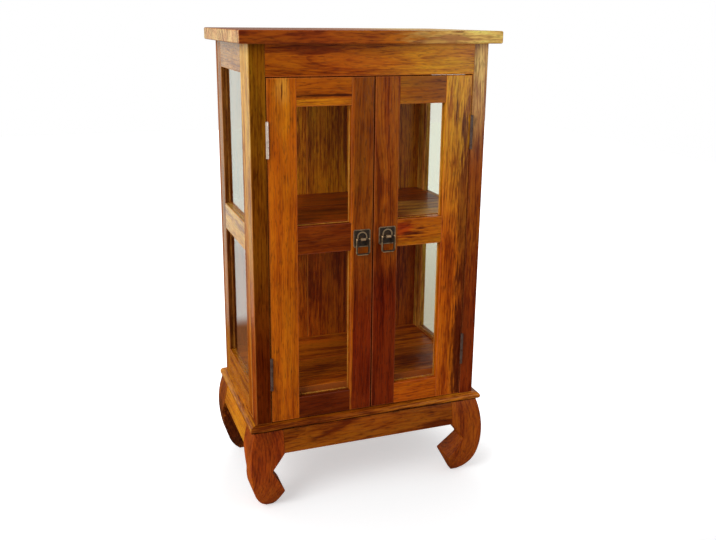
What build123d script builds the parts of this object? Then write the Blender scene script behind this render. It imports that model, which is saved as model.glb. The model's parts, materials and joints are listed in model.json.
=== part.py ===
from build123d import *
import os

# Two-door display cabinet on opium legs, in hardwood with glazed doors and sides.
# Millimetres, +Z up. X runs to the right, Y from the front to the back.
# The origin is on the floor, under the middle of the top board.

# Whole cabinet
cabinet_height = 1000.0
carcass_width = 500.0
carcass_depth = 314.0
top_thickness = 25.0
top_side_overhang = 21.0
top_front_overhang = 20.0
top_back_overhang = 20.0
top_edge_round = 3.0

# Legs, aprons and plinth moulding
leg_height = 187.0
leg_block_width = 54.0
leg_neck_width = 26.0
leg_neck_height = 98.0
leg_toe_reach = 56.0
leg_toe_height = 44.0
leg_sole_inner = 35.0
leg_sole_outer = 19.0
leg_heel_inset = 9.0
leg_heel_height = 10.0
leg_top_swell = 8.0
leg_belly_swell = 19.5
leg_belly_height = 113.0
leg_shin_swell = 13.0
leg_shin_height = 55.0
leg_neck_round = 5.0
leg_toe_round = 5.0
leg_corner_bevel = 1.2
apron_height = 50.0
apron_inner_depth = 10.0
back_apron_thickness = 20.0
apron_setback = 1.0
back_apron_setback = 2.0
moulding_thickness = 15.5
moulding_side_nose = 16.0
moulding_front_nose = 12.0
moulding_inner_width = 30.0

# Carcass joinery
post_width = 32.0
post_depth = 35.0
arris_bevel = 0.8
side_thickness = 16.0
side_stile_width = 35.0
side_top_rail_height = 56.0
side_middle_rail_height = 58.0
side_rail_above_floor = 7.5
front_rail_height = 61.0
front_rail_thickness = 22.0
tenon_thickness = 6.0
tenon_length = 14.0
tenon_shoulder = 11.0

# Back, shelf and floor
back_board_thickness = 15.0
back_board_count = 5
tongue_thickness = 5.0
tongue_length = 5.0
back_bevel = 2.0
back_rail_height = 24.0
back_rail_thickness = 18.0
board_thickness = 16.0
shelf_above_rail = 0.5
floor_above_moulding = 59.5
board_count = 2
board_joint_gap = 0.6
board_front_gap = 1.5
bearer_height = 18.0
bearer_width = 14.0

# Doors
door_thickness = 24.0
door_gap = 1.5
door_floor_gap = 2.0
door_top_gap = 2.0
meeting_gap = 2.5
meeting_line = 3.0
meeting_bevel = 1.2
hinge_stile_width = 58.5
left_meeting_stile_width = 47.5
right_meeting_stile_width = 53.0
door_top_rail_height = 54.5
door_middle_rail_height = 58.0
door_middle_rail_top = 620.5
door_bottom_rail_height = 47.0

# Glass and the beads that hold it
glass_thickness = 3.0
glass_edge_gap = 0.5
rebate_width = 8.0
door_front_lip = 12.0
side_front_lip = 9.0
bead_bevel_share = 0.5

# Butt hinges
hinge_length = 69.0
hinge_leaf_width = 18.0
hinge_leaf_thickness = 0.7
hinge_barrel_radius = 3.0
hinge_barrel_stand = 0.1
hinge_pin_radius = 1.5
hinge_pin_clearance = 0.05
hinge_knuckle_count = 3
hinge_knuckle_gap = 0.4
hinge_head_height = 1.4
upper_hinge_inset = 117.0
lower_hinge_inset = 107.5

# Bail pulls
plate_width = 37.0
plate_height = 37.0
plate_thickness = 1.6
plate_corner = 2.5
plate_below_rail_top = 15.0
right_pull_offset = 3.0
right_pull_raise = 2.0
arch_radius = 11.0
arch_rim = 2.6
arch_relief = 1.4
arch_leg = 4.3
pull_pin_drop = 19.5
pull_pin_reach = 7.0
pull_stem_radius = 2.2
pull_barrel_radius = 3.0
pull_barrel_length = 10.0
bail_width = 31.0
bail_drop = 33.5
bail_bar_width = 4.2
bail_bar_depth = 3.2
bail_bar_bevel = 0.9
bail_corner = 4.5
bail_bead_radius = 2.9
bail_bead_length = 4.6
bail_arm_radius = 1.5
bail_arm_clearance = 0.06
bail_arm_gap = 1.2

# Catches
catch_width = 34.0
catch_height = 12.0
catch_depth = 14.0
catch_gap = 0.4
strike_thickness = 1.2

# Places that follow from the sizes above
front_y = -carcass_depth / 2
back_y = carcass_depth / 2
half_width = carcass_width / 2
carcass_top = cabinet_height - top_thickness
moulding_top = leg_height + moulding_thickness
apron_bottom = leg_height - apron_height
opening_half = half_width - post_width
rail_bottom = carcass_top - front_rail_height
boards_back_y = back_y - back_board_thickness
side_inner_x = half_width - side_thickness
door_bottom = moulding_top + door_floor_gap
door_top = rail_bottom - door_top_gap
floor_top_height = moulding_top + floor_above_moulding
shelf_top_height = door_middle_rail_top + shelf_above_rail
side_bottom_rail_height = floor_above_moulding + side_rail_above_floor
hinge_heights = (door_bottom + lower_hinge_inset, door_top - upper_hinge_inset)

os.makedirs("parts", exist_ok=True)


def save(solids, node):
    """Write one node: one solid, or a group of like solids."""
    group = solids if isinstance(solids, list) else [solids]
    plain = []
    for piece in group:
        plain.extend(piece.solids())
    export_step(Compound(children=plain), f"parts/{node}.step")


def block(x0, x1, y0, y1, z0, z1):
    """A plain length of timber between two corners."""
    return Pos((x0 + x1) / 2, (y0 + y1) / 2, (z0 + z1) / 2) * Box(x1 - x0, y1 - y0, z1 - z0)


def eased(timber, axis):
    """Take the sharp arrises off along one axis."""
    return chamfer(timber.edges().filter_by(axis), arris_bevel)


def other_side(solid):
    """The matching piece on the right of the cabinet."""
    return mirror(solid, about=Plane.YZ)


# Top board: one slab with an eased edge all round, laid on the posts and side frames.
top_board = block(
    -half_width - top_side_overhang,
    half_width + top_side_overhang,
    front_y - top_front_overhang,
    back_y + top_back_overhang,
    carcass_top,
    cabinet_height,
)
top_board = fillet(top_board.edges().filter_by(Axis.Z, reverse=True), top_edge_round)
save(top_board, "top_board")


# Legs and aprons share one swelling outer curve, drawn as its reach past the carcass face.
def leg_outline():
    """Side view of one leg: local X runs out past the carcass, local Y is the height."""
    sole_start = (-leg_sole_inner, 0.0)
    sole_end = (-leg_sole_outer, 0.0)
    neck = (-leg_neck_width, leg_neck_height)
    toe = (-leg_toe_reach, leg_toe_height)
    block_bottom = (-leg_block_width, apron_bottom)
    block_top = (-leg_block_width, leg_height)
    crown_edge = (leg_top_swell, leg_height)
    shin = (leg_shin_swell, leg_shin_height)
    belly = ThreePointArc(crown_edge, (leg_belly_swell, leg_belly_height), shin)
    heel_end = (-leg_heel_inset, leg_heel_height)
    heel = TangentArc(shin, heel_end, tangent=belly % 1)
    heel_cut = Line(heel_end, sole_end)
    crown = Line(crown_edge, block_top)
    joint = Line(block_top, block_bottom)
    throat = Line(block_bottom, neck)
    instep = Line(neck, toe)
    inside = Line(toe, sole_start)
    sole = Line(sole_start, sole_end)
    return make_face([belly, heel, heel_cut, crown, joint, throat, instep, inside, sole])


def rounded_leg_outline():
    """The outline with the neck and the toe sawn round."""
    face = leg_outline()
    neck_corner = face.vertices().sort_by_distance((-leg_neck_width, leg_neck_height, 0))[0]
    face = fillet(neck_corner, leg_neck_round)
    toe_corner = face.vertices().sort_by_distance((-leg_toe_reach, leg_toe_height, 0))[0]
    return fillet(toe_corner, leg_toe_round)


def two_way_leg():
    """A right back leg: the same outline sawn on two faces of one block, met at the corner."""
    reach = leg_toe_reach + 2 * leg_belly_swell
    outline = rounded_leg_outline()
    seen_from_front = Plane(origin=(half_width, back_y + leg_belly_swell + reach, 0), x_dir=(1, 0, 0), z_dir=(0, -1, 0))
    seen_from_side = Plane(origin=(half_width - reach, back_y, 0), x_dir=(0, 1, 0), z_dir=(1, 0, 0))
    sawn_front = extrude(seen_from_front * outline, 3 * reach)
    sawn_side = extrude(seen_from_side * outline, 3 * reach)
    leg = sawn_front & sawn_side
    along_corner = leg.edges().filter_by(lambda edge: abs((edge @ 0.5).X - half_width - (edge @ 0.5).Y + back_y) < 1e-3)
    outer_corner = along_corner.filter_by(lambda edge: (edge @ 0.5).X > half_width - leg_sole_outer)
    return chamfer(outer_corner, leg_corner_bevel)


right_back_leg = two_way_leg()
left_back_leg = other_side(right_back_leg)
right_front_leg = mirror(right_back_leg, about=Plane.XZ)
left_front_leg = other_side(right_front_leg)
save(right_back_leg, "right_back_leg")
save(left_back_leg, "left_back_leg")
save(right_front_leg, "right_front_leg")
save(left_front_leg, "left_front_leg")


def apron_profile():
    """End view of a swelling apron: local X runs outwards, local Y is the height."""
    full = leg_outline()
    band_centre = (leg_belly_swell - apron_inner_depth) / 2
    band = Pos(band_centre, apron_bottom + apron_height / 2) * Rectangle(
        leg_belly_swell + apron_inner_depth, apron_height
    )
    return Pos(-apron_setback, 0) * (full & band)


front_span = carcass_width - 2 * leg_block_width
side_span = carcass_depth - 2 * leg_block_width
front_apron_plane = Plane(origin=(front_span / 2, front_y, 0), x_dir=(0, -1, 0), z_dir=(-1, 0, 0))
front_apron = extrude(front_apron_plane * apron_profile(), front_span)
save(front_apron, "front_apron")
side_apron_plane = Plane(origin=(half_width, side_span / 2, 0), x_dir=(1, 0, 0), z_dir=(0, -1, 0))
right_apron = extrude(side_apron_plane * apron_profile(), side_span)
save(right_apron, "right_apron")
save(other_side(right_apron), "left_apron")
back_apron = block(
    -front_span / 2,
    front_span / 2,
    back_y - back_apron_setback - back_apron_thickness,
    back_y - back_apron_setback,
    apron_bottom,
    moulding_top,
)
save(back_apron, "back_apron")


# Plinth moulding: a half-round nose on a flat frame, mitred at the front corners.
def moulding_profile(nose):
    """End view: local X runs outwards from the carcass face, local Y is the height."""
    radius = moulding_thickness / 2
    flat = Pos((nose - radius - moulding_inner_width) / 2, leg_height + radius) * Rectangle(
        nose - radius + moulding_inner_width, moulding_thickness
    )
    return flat + Pos(nose - radius, leg_height + radius) * Circle(radius)


def mitre_cut(far):
    """Plan of the stretch that the front moulding keeps, cut on its mitre lines."""
    return extrude(
        Plane.XY
        * make_face(
            Polyline(
                (-half_width - moulding_side_nose - far, front_y - moulding_front_nose - far * mitre_slope),
                (half_width + moulding_side_nose + far, front_y - moulding_front_nose - far * mitre_slope),
                (half_width - moulding_inner_width, front_y + moulding_inner_width),
                (-half_width + moulding_inner_width, front_y + moulding_inner_width),
                close=True,
            )
        ),
        cabinet_height,
    )


mitre_slope = (moulding_inner_width + moulding_front_nose) / (moulding_inner_width + moulding_side_nose)
moulding_reach = half_width + moulding_side_nose
front_moulding_plane = Plane(origin=(moulding_reach, front_y, 0), x_dir=(0, -1, 0), z_dir=(-1, 0, 0))
front_moulding_strip = extrude(front_moulding_plane * moulding_profile(moulding_front_nose), 2 * moulding_reach)
front_moulding = front_moulding_strip & mitre_cut(moulding_side_nose)
save(front_moulding, "front_moulding")
side_moulding_plane = Plane(origin=(half_width, back_y, 0), x_dir=(1, 0, 0), z_dir=(0, -1, 0))
side_moulding_length = carcass_depth + moulding_front_nose
side_moulding_strip = extrude(side_moulding_plane * moulding_profile(moulding_side_nose), side_moulding_length)
right_moulding = side_moulding_strip - mitre_cut(moulding_side_nose)
save(right_moulding, "right_moulding")
save(other_side(right_moulding), "left_moulding")


# Frames: stiles run the full height, rails are tenoned between them.
def tenon(x0, x1, centre_y, z0, z1):
    """The tongue on a rail's end, kept clear of the glass rebates above and below."""
    return block(
        x0,
        x1,
        centre_y - tenon_thickness / 2,
        centre_y + tenon_thickness / 2,
        z0 + tenon_shoulder,
        z1 - tenon_shoulder,
    )


def pane_rebate(opening, lip_y, rear_y):
    """The step round one pane's opening that takes the glass and its beads."""
    x0, x1, z0, z1 = opening
    return block(x0 - rebate_width, x1 + rebate_width, lip_y, rear_y, z0 - rebate_width, z1 + rebate_width)


def pane(opening, lip_y):
    """One sheet of glass, a little smaller than its rebate."""
    x0, x1, z0, z1 = opening
    grow = rebate_width - glass_edge_gap
    return block(x0 - grow, x1 + grow, lip_y, lip_y + glass_thickness, z0 - grow, z1 + grow)


def bead_strip(opening, front_bead_y, rear_bead_y, turn):
    """One mitred bead of four, made along the bottom and turned to its side."""
    x0, x1, z0, z1 = opening
    across = x1 - x0 if turn % 2 == 0 else z1 - z0
    upright = z1 - z0 if turn % 2 == 0 else x1 - x0
    outline = Polyline(
        (-across / 2 - rebate_width, -upright / 2 - rebate_width),
        (across / 2 + rebate_width, -upright / 2 - rebate_width),
        (across / 2, -upright / 2),
        (-across / 2, -upright / 2),
        close=True,
    )
    plane = Plane(origin=(0, rear_bead_y, 0), x_dir=(1, 0, 0), z_dir=(0, -1, 0))
    strip = extrude(plane * make_face(outline), rear_bead_y - front_bead_y)
    sight_edge = strip.edges().filter_by(Axis.X).sort_by(lambda edge: (edge @ 0.5).Y + (edge @ 0.5).Z)[-1]
    strip = chamfer(sight_edge, bead_bevel_share * (rear_bead_y - front_bead_y))
    return Pos((x0 + x1) / 2, 0, (z0 + z1) / 2) * Rot(0, turn * 90, 0) * strip


def beads(opening, lip_y, rear_y):
    """Four beads round one pane, behind the glass."""
    return [bead_strip(opening, lip_y + glass_thickness, rear_y, turn) for turn in range(4)]


# Glazed side: built flat as seen from its own outer face, then turned onto the cabinet's right side.
# Local X runs along the side, local Y from the outer face inwards.
side_frame_start = post_depth
side_frame_end = carcass_depth - back_board_thickness
side_opening_x0 = side_frame_start + side_stile_width
side_opening_x1 = side_frame_end - side_stile_width
side_middle_top = door_middle_rail_top
side_middle_bottom = side_middle_top - side_middle_rail_height
side_openings = [
    (side_opening_x0, side_opening_x1, moulding_top + side_bottom_rail_height, side_middle_bottom),
    (side_opening_x0, side_opening_x1, side_middle_top, carcass_top - side_top_rail_height),
]
side_rails = {
    "bottom": (moulding_top, moulding_top + side_bottom_rail_height),
    "middle": (side_middle_bottom, side_middle_top),
    "top": (carcass_top - side_top_rail_height, carcass_top),
}
side_lip_y = side_front_lip
side_rebates = [pane_rebate(opening, side_lip_y, side_thickness) for opening in side_openings]
side_tenon_y = side_thickness / 2


def onto_right(solid):
    """From the side's own flat frame to its place on the right of the cabinet."""
    return Pos(half_width, front_y, 0) * Rot(0, 0, 90) * solid


def place_side(solids, name):
    """Save a piece, or a group of like pieces, on the right side and its match on the left."""
    group = solids if isinstance(solids, list) else [solids]
    right = [onto_right(solid) for solid in group]
    save(right, f"right_side_{name}")
    save([other_side(solid) for solid in right], f"left_side_{name}")


def side_stile(x0, x1, mortise_x0, mortise_x1):
    """One upright of the side frame with its mortises and rebates."""
    stile = eased(block(x0, x1, 0, side_thickness, moulding_top, carcass_top), Axis.Z)
    for z0, z1 in side_rails.values():
        stile = stile - tenon(mortise_x0, mortise_x1, side_tenon_y, z0, z1)
    for rebate in side_rebates:
        stile = stile - rebate
    return stile


place_side(
    side_stile(side_frame_start, side_opening_x0, side_opening_x0 - tenon_length, side_opening_x0),
    "front_stile",
)
place_side(
    side_stile(side_opening_x1, side_frame_end, side_opening_x1, side_opening_x1 + tenon_length),
    "back_stile",
)
for rail_name, (rail_z0, rail_z1) in side_rails.items():
    side_rail = block(side_opening_x0, side_opening_x1, 0, side_thickness, rail_z0, rail_z1)
    side_rail = side_rail + tenon(
        side_opening_x0 - tenon_length, side_opening_x1 + tenon_length, side_tenon_y, rail_z0, rail_z1
    )
    for side_rebate in side_rebates:
        side_rail = side_rail - side_rebate
    place_side(side_rail, f"{rail_name}_rail")
place_side([pane(opening, side_lip_y) for opening in side_openings], "panes")
side_beads = []
for side_opening in side_openings:
    side_beads.extend(beads(side_opening, side_lip_y, side_thickness))
place_side(side_beads, "beads")


# Front posts and the rail above the doors, mortised and tenoned together.
def hinge_recess(edge_x, leaf_side, height):
    """Shallow housing for a hinge leaf in an upright that faces the gap beside the door."""
    return block(
        min(edge_x, edge_x + leaf_side * hinge_leaf_thickness),
        max(edge_x, edge_x + leaf_side * hinge_leaf_thickness),
        front_y,
        front_y + hinge_leaf_width,
        height - hinge_length / 2,
        height + hinge_length / 2,
    )


front_tenon_y = front_y + front_rail_thickness / 2
front_rail = block(-opening_half, opening_half, front_y, front_y + front_rail_thickness, rail_bottom, carcass_top)
front_rail = front_rail + tenon(
    -opening_half - tenon_length, opening_half + tenon_length, front_tenon_y, rail_bottom, carcass_top
)
save(front_rail, "front_top_rail")
right_post = block(opening_half, half_width, front_y, front_y + post_depth, moulding_top, carcass_top)
right_post = eased(right_post, Axis.Z)
right_post = right_post - tenon(opening_half, opening_half + tenon_length, front_tenon_y, rail_bottom, carcass_top)
for hinge_height in hinge_heights:
    right_post = right_post - hinge_recess(opening_half, 1, hinge_height)
save(right_post, "right_front_post")
save(other_side(right_post), "left_front_post")


# Back boards: upright, tongued and grooved, with a bevel at each joint inside and out.
def back_board(number):
    """One upright board, counted from the left."""
    width = carcass_width / back_board_count
    x0 = -half_width + number * width
    tongue_y = back_y - back_board_thickness / 2
    board = block(x0, x0 + width, boards_back_y, back_y, moulding_top, carcass_top)
    joint_edges = board.edges().filter_by(Axis.Z)
    if number == 0:
        joint_edges = joint_edges.sort_by(Axis.X)[-2:]
    if number == back_board_count - 1:
        joint_edges = joint_edges.sort_by(Axis.X)[:2]
    board = chamfer(joint_edges, back_bevel)
    if number < back_board_count - 1:
        board = board + block(
            x0 + width - back_bevel,
            x0 + width + tongue_length,
            tongue_y - tongue_thickness / 2,
            tongue_y + tongue_thickness / 2,
            moulding_top,
            carcass_top,
        )
    if number > 0:
        board = board - block(
            x0 - back_bevel,
            x0 + tongue_length,
            tongue_y - tongue_thickness / 2,
            tongue_y + tongue_thickness / 2,
            moulding_top,
            carcass_top,
        )
    return board


save([back_board(number) for number in range(back_board_count)], "back_boards")
upper_back_rail = block(
    -side_inner_x,
    side_inner_x,
    boards_back_y - back_rail_thickness,
    boards_back_y,
    carcass_top - back_rail_height,
    carcass_top,
)
floor_bottom = floor_top_height - board_thickness
shelf_bottom = shelf_top_height - board_thickness
lower_back_rail = block(
    -side_inner_x,
    side_inner_x,
    boards_back_y - back_rail_thickness,
    boards_back_y,
    floor_bottom - back_rail_height,
    floor_bottom,
)
save([upper_back_rail, lower_back_rail], "back_rails")


# Shelf and floor: boards laid side by side on bearers, notched round the front posts.
boards_front_y = front_y + door_thickness + board_front_gap
post_notch = block(opening_half, half_width, front_y, front_y + post_depth, 0, cabinet_height)


def laid_boards(top_height):
    """Boards of one level, from front to back."""
    pitch = (boards_back_y - boards_front_y) / board_count
    level = []
    for number in range(board_count):
        board = block(
            -side_inner_x,
            side_inner_x,
            boards_front_y + number * pitch + board_joint_gap * min(number, 1),
            boards_front_y + (number + 1) * pitch,
            top_height - board_thickness,
            top_height,
        )
        board = eased(board, Axis.X)
        level.append(board - post_notch - other_side(post_notch))
    return level


save(laid_boards(shelf_top_height), "shelf_boards")
save(laid_boards(floor_top_height), "floor_boards")


def bearer(under):
    """One bearer screwed to the inside of the right-hand side frame."""
    return block(
        side_inner_x - bearer_width,
        side_inner_x,
        front_y + post_depth,
        boards_back_y - back_rail_thickness,
        under - bearer_height,
        under,
    )


right_bearers = [bearer(shelf_bottom), bearer(floor_bottom)]
save(right_bearers + [other_side(strip) for strip in right_bearers], "board_bearers")


# Butt hinges: two leaves with interleaved knuckles round one loose pin.
pin_x = opening_half - door_gap / 2
pin_y = front_y - hinge_barrel_radius - hinge_barrel_stand
knuckle_pitch = hinge_length / hinge_knuckle_count


def knuckle(height, number):
    """One knuckle, bored for the pin, counted from the bottom of its hinge."""
    base = height - hinge_length / 2 + number * knuckle_pitch + hinge_knuckle_gap / 2
    length = knuckle_pitch - hinge_knuckle_gap
    barrel = Pos(pin_x, pin_y, base + length / 2) * Cylinder(hinge_barrel_radius, length)
    bore = Pos(pin_x, pin_y, base + length / 2) * Cylinder(hinge_pin_radius + hinge_pin_clearance, 2 * length)
    return barrel, bore, base, base + length


def hinge_leaf(height, leaf_x0, leaf_x1, first):
    """One leaf, let in flush, with every other knuckle starting from the first."""
    plate = block(
        leaf_x0,
        leaf_x1,
        pin_y,
        front_y + hinge_leaf_width,
        height - hinge_length / 2,
        height + hinge_length / 2,
    )
    bores = []
    barrels = []
    for number in range(hinge_knuckle_count):
        barrel, bore, z0, z1 = knuckle(height, number)
        if number % 2 == first:
            barrels.append(barrel)
            bores.append(bore)
        else:
            reach = hinge_barrel_radius + hinge_knuckle_gap
            plate = plate - block(
                pin_x - reach,
                pin_x + reach,
                pin_y - reach,
                pin_y + reach,
                z0 - hinge_knuckle_gap,
                z1 + hinge_knuckle_gap,
            )
    leaf = plate
    for barrel in barrels:
        leaf = leaf + barrel
    for bore in bores:
        leaf = leaf - bore
    return leaf


def hinge_pin(height):
    """The loose pin, hung in its knuckles by a flat head."""
    shank_length = hinge_length + hinge_knuckle_gap / 2
    shank = Pos(pin_x, pin_y, height + hinge_knuckle_gap / 4) * Cylinder(hinge_pin_radius, shank_length)
    head_z = height + hinge_length / 2 + hinge_knuckle_gap / 2 + hinge_head_height / 2
    return shank + Pos(pin_x, pin_y, head_z) * Cylinder(hinge_barrel_radius, hinge_head_height)


post_leaf_x0 = opening_half
post_leaf_x1 = opening_half + hinge_leaf_thickness
door_leaf_x0 = opening_half - door_gap - hinge_leaf_thickness
door_leaf_x1 = opening_half - door_gap
right_post_leaves = [hinge_leaf(height, post_leaf_x0, post_leaf_x1, 0) for height in hinge_heights]
right_door_leaves = [hinge_leaf(height, door_leaf_x0, door_leaf_x1, 1) for height in hinge_heights]
right_pins = [hinge_pin(height) for height in hinge_heights]
save(right_post_leaves + [other_side(leaf) for leaf in right_post_leaves], "post_hinge_leaves")
save(right_pins + [other_side(pin) for pin in right_pins], "hinge_pins")
save(right_door_leaves, "right_door_hinge_leaves")
save([other_side(leaf) for leaf in right_door_leaves], "left_door_hinge_leaves")


# Doors: two stiles, three rails, two panes each, set flush between the posts.
door_rails = {
    "bottom": (door_bottom, door_bottom + door_bottom_rail_height),
    "middle": (door_middle_rail_top - door_middle_rail_height, door_middle_rail_top),
    "top": (door_top - door_top_rail_height, door_top),
}
door_rear_y = front_y + door_thickness
door_lip_y = front_y + door_front_lip
door_tenon_y = front_y + door_front_lip - tenon_thickness / 2


def build_door(side, hinge_x, meeting_x, meeting_width):
    """One door, from its hinge edge to its meeting edge; side is -1 on the left, 1 on the right."""
    name = "left" if side < 0 else "right"
    hinge_inner = hinge_x - side * hinge_stile_width
    meeting_inner = meeting_x + side * meeting_width
    x0 = min(hinge_inner, meeting_inner)
    x1 = max(hinge_inner, meeting_inner)
    openings = [
        (x0, x1, door_rails["bottom"][1], door_rails["middle"][0]),
        (x0, x1, door_rails["middle"][1], door_rails["top"][0]),
    ]
    rebates = [pane_rebate(opening, door_lip_y, door_rear_y) for opening in openings]

    def stile(edge_x, inner_x, bevel):
        """One upright, its outer edge planed off square by the bevel towards the back."""
        plan = Polyline(
            (edge_x, front_y), (edge_x + side * bevel, door_rear_y), (inner_x, door_rear_y), (inner_x, front_y),
            close=True,
        )
        upright = extrude(Plane.XY.offset(door_bottom) * make_face(plan), door_top - door_bottom, dir=(0, 0, 1))
        upright = eased(upright, Axis.Z)
        for z0, z1 in door_rails.values():
            upright = upright - tenon(x0 - tenon_length, x1 + tenon_length, door_tenon_y, z0, z1)
        for rebate in rebates:
            upright = upright - rebate
        return upright

    hinge_stile = stile(hinge_x, hinge_inner, 0)
    for height in hinge_heights:
        hinge_stile = hinge_stile - hinge_recess(hinge_x, -side, height)
    save(hinge_stile, f"{name}_door_hinge_stile")
    save(stile(meeting_x, meeting_inner, meeting_bevel), f"{name}_door_meeting_stile")
    for rail, (z0, z1) in door_rails.items():
        timber = block(x0, x1, front_y, door_rear_y, z0, z1)
        timber = timber + tenon(x0 - tenon_length, x1 + tenon_length, door_tenon_y, z0, z1)
        for rebate in rebates:
            timber = timber - rebate
        save(timber, f"{name}_door_{rail}_rail")
    save([pane(opening, door_lip_y) for opening in openings], f"{name}_door_panes")
    door_beads = []
    for opening in openings:
        door_beads.extend(beads(opening, door_lip_y, door_rear_y))
    save(door_beads, f"{name}_door_beads")


hinge_edge = opening_half - door_gap
left_meeting_edge = meeting_line - meeting_gap / 2
right_meeting_edge = meeting_line + meeting_gap / 2
build_door(-1, -hinge_edge, left_meeting_edge, left_meeting_stile_width)
build_door(1, hinge_edge, right_meeting_edge, right_meeting_stile_width)


# Bail pulls: a backplate with a raised arch and a bored barrel on a stem, and the bail that swings in it.
plate_front_y = front_y - plate_thickness
pull_pin_y = plate_front_y - pull_pin_reach


def arch(radius):
    """A round-headed opening: half a circle on two short legs."""
    head = Circle(radius) & (Pos(0, radius / 2) * Rectangle(2 * radius, radius))
    return head + Pos(0, -arch_leg / 2) * Rectangle(2 * radius, arch_leg)


def along_x(centre_x, pin_height, length, radius):
    """A round bar on the pull's pin line."""
    return Pos(centre_x, pull_pin_y, pin_height) * Rot(0, 90, 0) * Cylinder(radius, length)


def pull_plate(centre_x, pin_height):
    """Backplate, arch, stem and barrel in one casting."""
    plate_centre_height = pin_height + pull_pin_drop - plate_height / 2
    plate_plane = Plane(origin=(centre_x, front_y, plate_centre_height), x_dir=(1, 0, 0), z_dir=(0, -1, 0))
    plate = extrude(plate_plane * Rectangle(plate_width, plate_height), plate_thickness)
    plate = chamfer(plate.edges().filter_by(Axis.Y), plate_corner)
    arch_plane = Plane(origin=(centre_x, plate_front_y, pin_height + arch_leg), x_dir=(1, 0, 0), z_dir=(0, -1, 0))
    raised_arch = extrude(arch_plane * (arch(arch_radius) - arch(arch_radius - arch_rim)), arch_relief)
    stem = Pos(centre_x, (plate_front_y + pull_pin_y) / 2, pin_height) * Rot(90, 0, 0) * Cylinder(
        pull_stem_radius, pull_pin_reach
    )
    barrel = along_x(centre_x, pin_height, pull_barrel_length, pull_barrel_radius)
    bore = along_x(centre_x, pin_height, 2 * pull_barrel_length, bail_arm_radius + bail_arm_clearance)
    return plate + raised_arch + stem + barrel - bore


def bail(centre_x, pin_height):
    """The swinging bail: a bar bent square, a bead at each shoulder and an arm turned in to the barrel."""
    half = bail_width / 2 - bail_bar_width / 2
    bottom = pin_height - bail_drop + bail_bar_width / 2
    hoop_plane = Plane(origin=(centre_x, pull_pin_y, 0), x_dir=(1, 0, 0), z_dir=(0, -1, 0))
    route = FilletPolyline(
        (-half, pin_height),
        (-half, bottom),
        (half, bottom),
        (half, pin_height),
        radius=bail_corner,
    )
    start = Plane(origin=(centre_x - half, pull_pin_y, pin_height), x_dir=(1, 0, 0), z_dir=(0, 0, -1))
    bar_section = chamfer(Rectangle(bail_bar_width, bail_bar_depth).vertices(), bail_bar_bevel)
    hoop = sweep(start * bar_section, path=hoop_plane * route)
    arm_length = half - bail_arm_gap / 2
    for shoulder in (-1, 1):
        bead = along_x(centre_x + shoulder * half, pin_height, bail_bead_length, bail_bead_radius)
        arm = along_x(centre_x + shoulder * (half - arm_length / 2), pin_height, arm_length, bail_arm_radius)
        hoop = hoop + bead + arm
    return hoop


left_pull_x = left_meeting_edge - left_meeting_stile_width / 2
left_pin_height = door_middle_rail_top - plate_below_rail_top - pull_pin_drop
right_pull_x = right_meeting_edge + right_meeting_stile_width / 2 + right_pull_offset
right_pin_height = left_pin_height + right_pull_raise
save(pull_plate(left_pull_x, left_pin_height), "left_pull_plate")
save(bail(left_pull_x, left_pin_height), "left_bail_handle")
save(pull_plate(right_pull_x, right_pin_height), "right_pull_plate")
save(bail(right_pull_x, right_pin_height), "right_bail_handle")


# Catches: a magnet case under the shelf behind each meeting stile, and a strike on the door.
def catch_parts(centre_x):
    """The magnet case and the strike plate that it holds."""
    strike = block(
        centre_x - catch_width / 2,
        centre_x + catch_width / 2,
        door_rear_y,
        door_rear_y + strike_thickness,
        shelf_bottom - catch_height,
        shelf_bottom - catch_gap,
    )
    case = block(
        centre_x - catch_width / 2,
        centre_x + catch_width / 2,
        door_rear_y + strike_thickness + catch_gap,
        door_rear_y + strike_thickness + catch_gap + catch_depth,
        shelf_bottom - catch_height,
        shelf_bottom,
    )
    return case, strike


left_case, left_strike = catch_parts(left_pull_x)
right_case, right_strike = catch_parts(right_pull_x)
save([left_case, right_case], "catch_magnets")
save(left_strike, "left_catch_strike")
save(right_strike, "right_catch_strike")
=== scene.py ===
import json
import math

import bmesh
import bpy
from mathutils import Matrix, Vector


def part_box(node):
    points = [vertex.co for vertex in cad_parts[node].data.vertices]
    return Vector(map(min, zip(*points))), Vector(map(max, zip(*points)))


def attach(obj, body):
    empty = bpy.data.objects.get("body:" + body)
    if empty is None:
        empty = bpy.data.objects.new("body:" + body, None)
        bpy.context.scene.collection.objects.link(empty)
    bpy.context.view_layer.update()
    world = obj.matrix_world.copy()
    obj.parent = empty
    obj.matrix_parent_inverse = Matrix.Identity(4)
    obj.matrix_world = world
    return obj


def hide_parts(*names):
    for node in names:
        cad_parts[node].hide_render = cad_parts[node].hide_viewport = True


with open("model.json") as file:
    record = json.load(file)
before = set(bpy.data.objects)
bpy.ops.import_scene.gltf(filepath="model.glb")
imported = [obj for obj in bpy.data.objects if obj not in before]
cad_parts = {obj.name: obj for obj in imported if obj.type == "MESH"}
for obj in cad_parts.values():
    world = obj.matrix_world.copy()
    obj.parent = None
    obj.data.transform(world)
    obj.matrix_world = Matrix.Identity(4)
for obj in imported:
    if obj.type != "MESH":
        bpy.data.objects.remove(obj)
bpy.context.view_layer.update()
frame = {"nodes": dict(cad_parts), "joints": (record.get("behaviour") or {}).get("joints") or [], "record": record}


# Camera: the cabinet is seen from the front left, a little above its middle, so that its top edge, left
# side and two doors show together. Places are in metres in the cabinet's own frame, turns in degrees, and
# the lens and its film in millimetres.
def put_in_scene(name, data):
    """A new object that holds this mesh, camera or lamp."""
    thing = bpy.data.objects.new(name, data)
    bpy.context.scene.collection.objects.link(thing)
    return thing


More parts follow.
